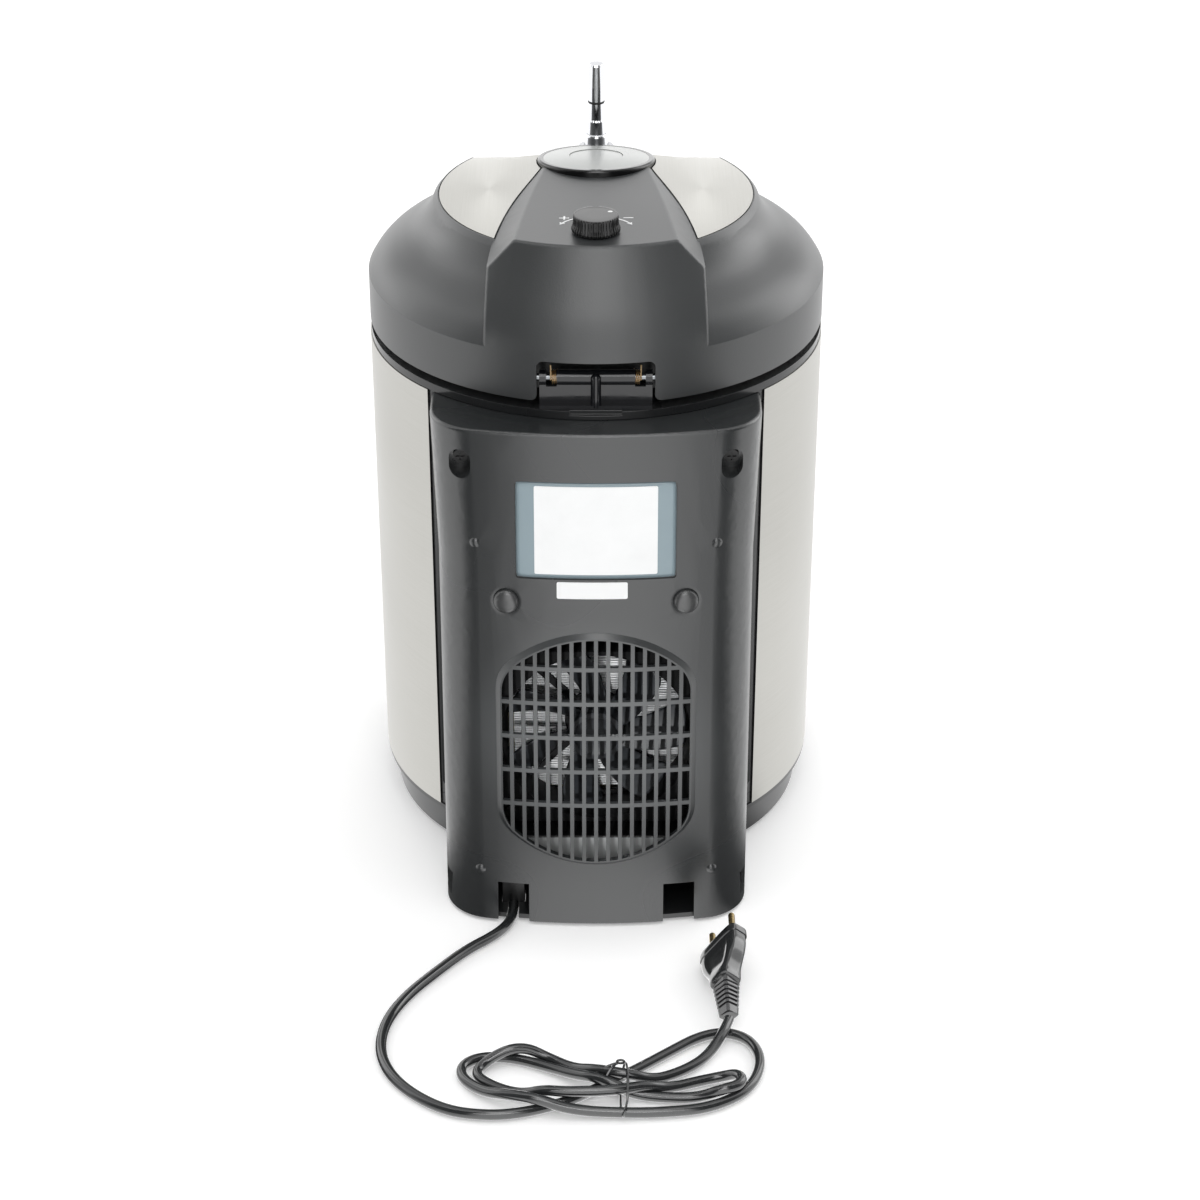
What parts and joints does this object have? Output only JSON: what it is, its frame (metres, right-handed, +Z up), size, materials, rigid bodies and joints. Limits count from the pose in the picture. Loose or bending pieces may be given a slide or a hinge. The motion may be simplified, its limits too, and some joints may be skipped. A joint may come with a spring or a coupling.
{
  "type": "mini keg beer dispenser",
  "caption": "Tabletop beer cooler for a small keg: steel barrel on a base, hinged lid with tap, knob and disc, drip tray, and a rear cover with fan grille and mains lead.",
  "frame": {"origin": "on the table, below the middle of the whole appliance without its lead", "axes": "+Z up along the well's axis, -Y to the front with tap and tray, +Y to the fan cover, +X to the right of someone facing the tap"},
  "size_m": [0.277, 0.5666, 0.4496],
  "materials": {
    "lid_plastic": "fine-textured satin, charcoal",
    "cover_plastic": "satin, dark grey",
    "black_plastic": "satin, black",
    "gloss_black": "gloss, black",
    "steel": "brushed, warm light grey",
    "disc_silver": "fine satin, silver",
    "chrome": "polished",
    "aluminium": "plain mill finish",
    "spring_wire": "zinc-yellow wire",
    "sheet_metal": "galvanised, light grey",
    "rubber": "matt, black",
    "foam": "rigid foam, cream",
    "ceramic": "fired, white",
    "circuit": "laminate, green",
    "display": "smoked",
    "label": "bare film, white",
    "tray_liner": "satin, white",
    "lead_pvc": "satin, black"
  },
  "bodies": {
    "base": {"base_plinth": "black_plastic", "tray_tongue": "black_plastic", "rubber_feet": "rubber", "steel_skin": "steel", "rear_frame": "black_plastic", "insulation": "foam", "well_liner": "aluminium", "top_deck": "black_plastic", "back_cover": "cover_plastic", "wall_bumpers": "cover_plastic", "cover_screws": "chrome", "rating_label": "label", "small_label": "label", "fan_frame": "black_plastic", "fan_screws": "chrome", "heat_sink": "aluminium", "peltier_module": "ceramic", "cold_block": "aluminium", "power_supply": "sheet_metal", "cord_clamp": "black_plastic", "control_panel": "gloss_black", "display_window": "display", "control_board": "circuit", "hinge_bracket": "gloss_black", "hinge_pin": "chrome", "hinge_springs": "spring_wire", "hinge_screws": "chrome", "power_cord": "lead_pvc", "cord_hank": "lead_pvc", "twist_tie": "black_plastic", "plug_body": "lead_pvc", "plug_pins": "chrome", "plug_relief": "lead_pvc"},
    "fan": {"fan_rotor": "black_plastic"},
    "lid": {"lid_shell": "lid_plastic", "plate_left": "steel", "plate_right": "steel", "lid_liner": "tray_liner", "lid_foam": "foam", "lid_gasket": "rubber", "disc_bezel": "gloss_black", "disc_lens": "disc_silver", "disc_centre": "disc_silver", "regulator_body": "aluminium", "tap_collar": "chrome", "tap_valve": "chrome", "spout": "chrome", "spout_flange": "chrome"},
    "knob": {"regulator_knob": "gloss_black", "knob_stem": "chrome"},
    "lever": {"tap_lever": "chrome", "lever_o_ring": "rubber", "tap_handle": "chrome"},
    "left_button": {"button_left": "chrome"},
    "middle_button": {"button_middle": "chrome"},
    "right_button": {"button_right": "chrome"},
    "tray": {"drip_tray": "black_plastic"},
    "grid": {"drip_grid": "steel"}
  },
  "joints": [
    {"name": "lid_hinge", "type": "hinge", "parent": "base", "child": "lid", "pos_m": [0, 0.1275, 0.3425], "axis": [-1, 0, 0], "range_deg": [0, 90], "stiffness_Nm_per_rad": 0.3, "springref_deg": 90},
    {"name": "regulator_turn", "type": "hinge", "parent": "lid", "child": "knob", "pos_m": [0, 0.089, 0.42], "axis": [0, 0, 1], "range_deg": [-135, 135]},
    {"name": "tap_pull", "type": "hinge", "parent": "lid", "child": "lever", "pos_m": [0, -0.104, 0.392], "axis": [1, 0, 0], "range_deg": [0, 30]},
    {"name": "fan_spin", "type": "hinge", "parent": "base", "child": "fan", "pos_m": [0, 0.15, 0.12], "axis": [0, 1, 0], "continuous": true},
    {"name": "left_button_press", "type": "slide", "parent": "base", "child": "left_button", "axis": [0, 1, 0], "range_m": [0, 0.001], "stiffness_N_per_m": 800},
    {"name": "middle_button_press", "type": "slide", "parent": "base", "child": "middle_button", "axis": [0, 1, 0], "range_m": [0, 0.001], "stiffness_N_per_m": 800},
    {"name": "right_button_press", "type": "slide", "parent": "base", "child": "right_button", "axis": [0, 1, 0], "range_m": [0, 0.001], "stiffness_N_per_m": 800},
    {"name": "tray_slide", "type": "slide", "parent": "base", "child": "tray", "axis": [0, -1, 0], "range_m": [0, 0.08]},
    {"name": "grid_lift", "type": "slide", "parent": "tray", "child": "grid", "axis": [0, 0, 1], "range_m": [0, 0.03]}
  ]
}
